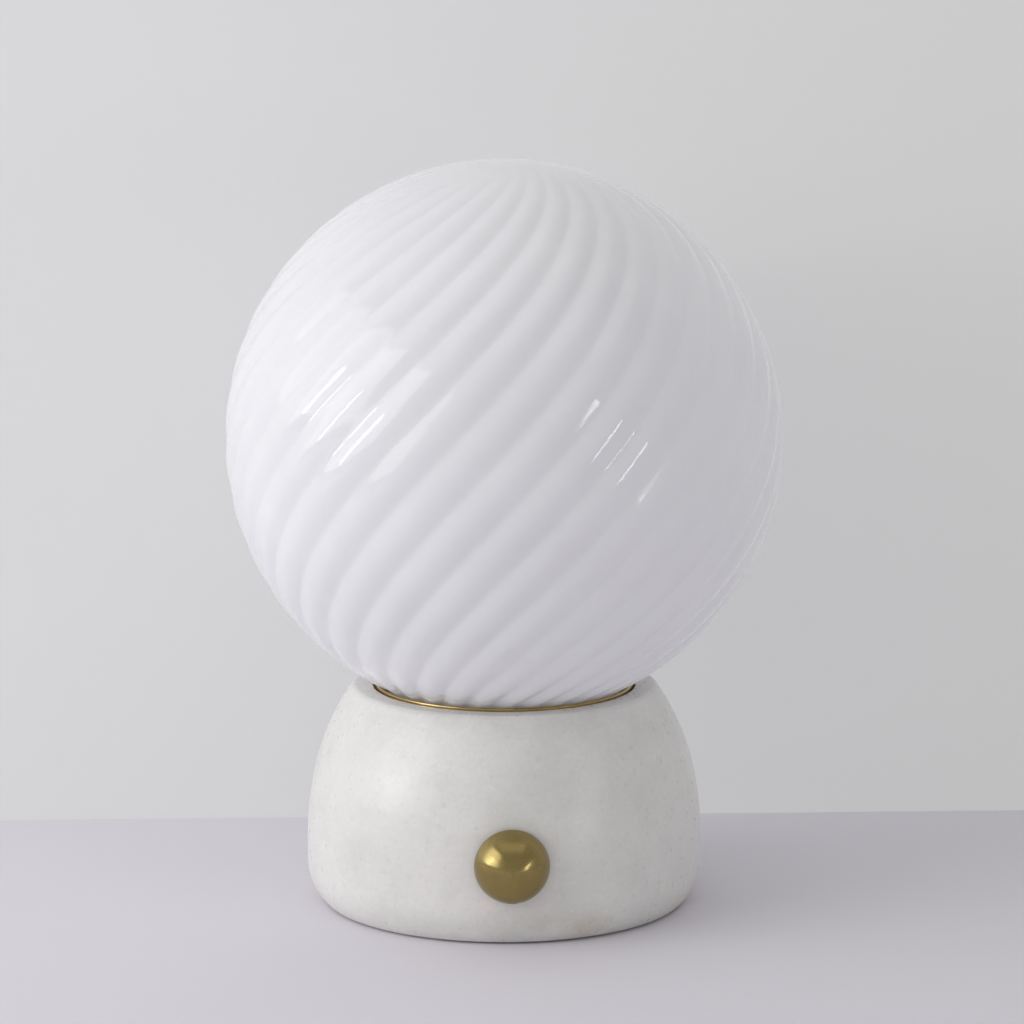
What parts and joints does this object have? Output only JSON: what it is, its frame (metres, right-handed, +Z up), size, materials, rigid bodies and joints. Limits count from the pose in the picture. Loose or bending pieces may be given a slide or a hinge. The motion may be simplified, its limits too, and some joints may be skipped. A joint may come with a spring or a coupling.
{
  "type": "glass globe table lamp",
  "caption": "Table lamp with a spiral-ribbed opal glass globe seated in a brass ring on a domed white marble base with a turned brass dimmer knob.",
  "frame": {"origin": "middle of the base on the surface that the lamp stands on", "axes": "+Z up through the globe, -Y towards the dimmer knob, +Y towards the cable entry"},
  "size_m": [0.2, 0.2, 0.2694],
  "materials": {
    "marble": "satin polish, white, fine crystalline grain",
    "opal_glass": "opal white, glossy, spiral ribs",
    "satin_brass": "turned and lacquered satin",
    "brass": "plain turned",
    "zinc_steel": "zinc plated",
    "nickel_plate": "nickel plated",
    "foam_pad": "closed-cell foam",
    "silicone": "translucent white silicone",
    "black_plastic": "fine moulded texture",
    "white_plastic": "smooth moulded",
    "frosted_plastic": "frosted white",
    "core_ceramic": "unglazed steatite",
    "black_glass": "fused black glass",
    "board": "green solder mask",
    "phenolic": "phenolic sheet",
    "aluminium": "anodised",
    "copper_winding": "enamelled copper",
    "film_yellow": "film capacitor shell",
    "led_yellow": "phosphor coat",
    "brown_wire": "insulated wire",
    "blue_wire": "insulated wire",
    "earth_wire": "insulated wire"
  },
  "bodies": {
    "base": {"marble_base": "marble", "base_plate": "zinc_steel", "foot_pad": "foam_pad", "base_plate_screws": "zinc_steel", "base_inserts": "brass", "gallery_dish": "satin_brass", "globe_gasket": "silicone", "lamp_stem": "zinc_steel", "stem_washer": "zinc_steel", "earth_tag": "nickel_plate", "stem_nut": "zinc_steel", "stem_lock_nut": "brass", "holder_base": "white_plastic", "holder_sleeve": "white_plastic", "holder_core": "core_ceramic", "holder_terminal_screws": "brass", "holder_shell": "brass", "holder_centre_contact": "brass", "dimmer_case": "black_plastic", "dimmer_cover": "black_plastic", "dimmer_bush": "brass", "dimmer_washer": "zinc_steel", "dimmer_nut": "brass", "dimmer_potentiometer": "black_plastic", "dimmer_track_plate": "phenolic", "dimmer_board": "board", "dimmer_choke": "copper_winding", "dimmer_capacitor": "film_yellow", "dimmer_triac": "black_plastic", "cable_bush": "black_plastic", "cable_bush_nut": "black_plastic", "cable_clamp_base": "white_plastic", "cable_clamp_saddle": "white_plastic", "cable_clamp_screws": "zinc_steel", "terminal_block": "white_plastic", "terminal_barrels": "brass", "terminal_tips": "zinc_steel", "terminal_block_screws": "zinc_steel", "wire_live_feed": "brown_wire", "wire_live_lamp": "brown_wire", "wire_neutral": "blue_wire", "wire_earth": "earth_wire"},
    "globe": {"globe_glass": "opal_glass"},
    "bulb_foot": {"bulb_pellet": "nickel_plate"},
    "bulb": {"bulb_insulator": "black_glass", "bulb_cap": "nickel_plate", "bulb_body": "white_plastic", "bulb_led_board": "aluminium", "bulb_leds": "led_yellow", "bulb_ball": "frosted_plastic"},
    "dimmer_knob": {"knob": "satin_brass", "knob_set_screw": "zinc_steel", "dimmer_shaft": "zinc_steel", "dimmer_wiper": "white_plastic"}
  },
  "joints": [
    {"name": "dimmer_turn", "type": "hinge", "parent": "base", "child": "dimmer_knob", "pos_m": [0, -0.0721, 0.0299], "axis": [0, 1, 0], "range_deg": [0, 300]},
    {"name": "globe_lift", "type": "slide", "parent": "base", "child": "globe", "axis": [0, 0, 1], "range_m": [0, 0.11]},
    {"name": "bulb_rise", "type": "slide", "parent": "base", "child": "bulb_foot", "axis": [0, 0, 1], "range_m": [0, 0.0141]},
    {"name": "bulb_turn", "type": "hinge", "parent": "bulb_foot", "child": "bulb", "pos_m": [0, 0, 0.11], "axis": [0, 0, 1], "range_deg": [0, 1800.5]}
  ],
  "couplings": [
    {"joint": "bulb_turn", "follows": "bulb_rise", "rad_per_m": 2228.1}
  ]
}
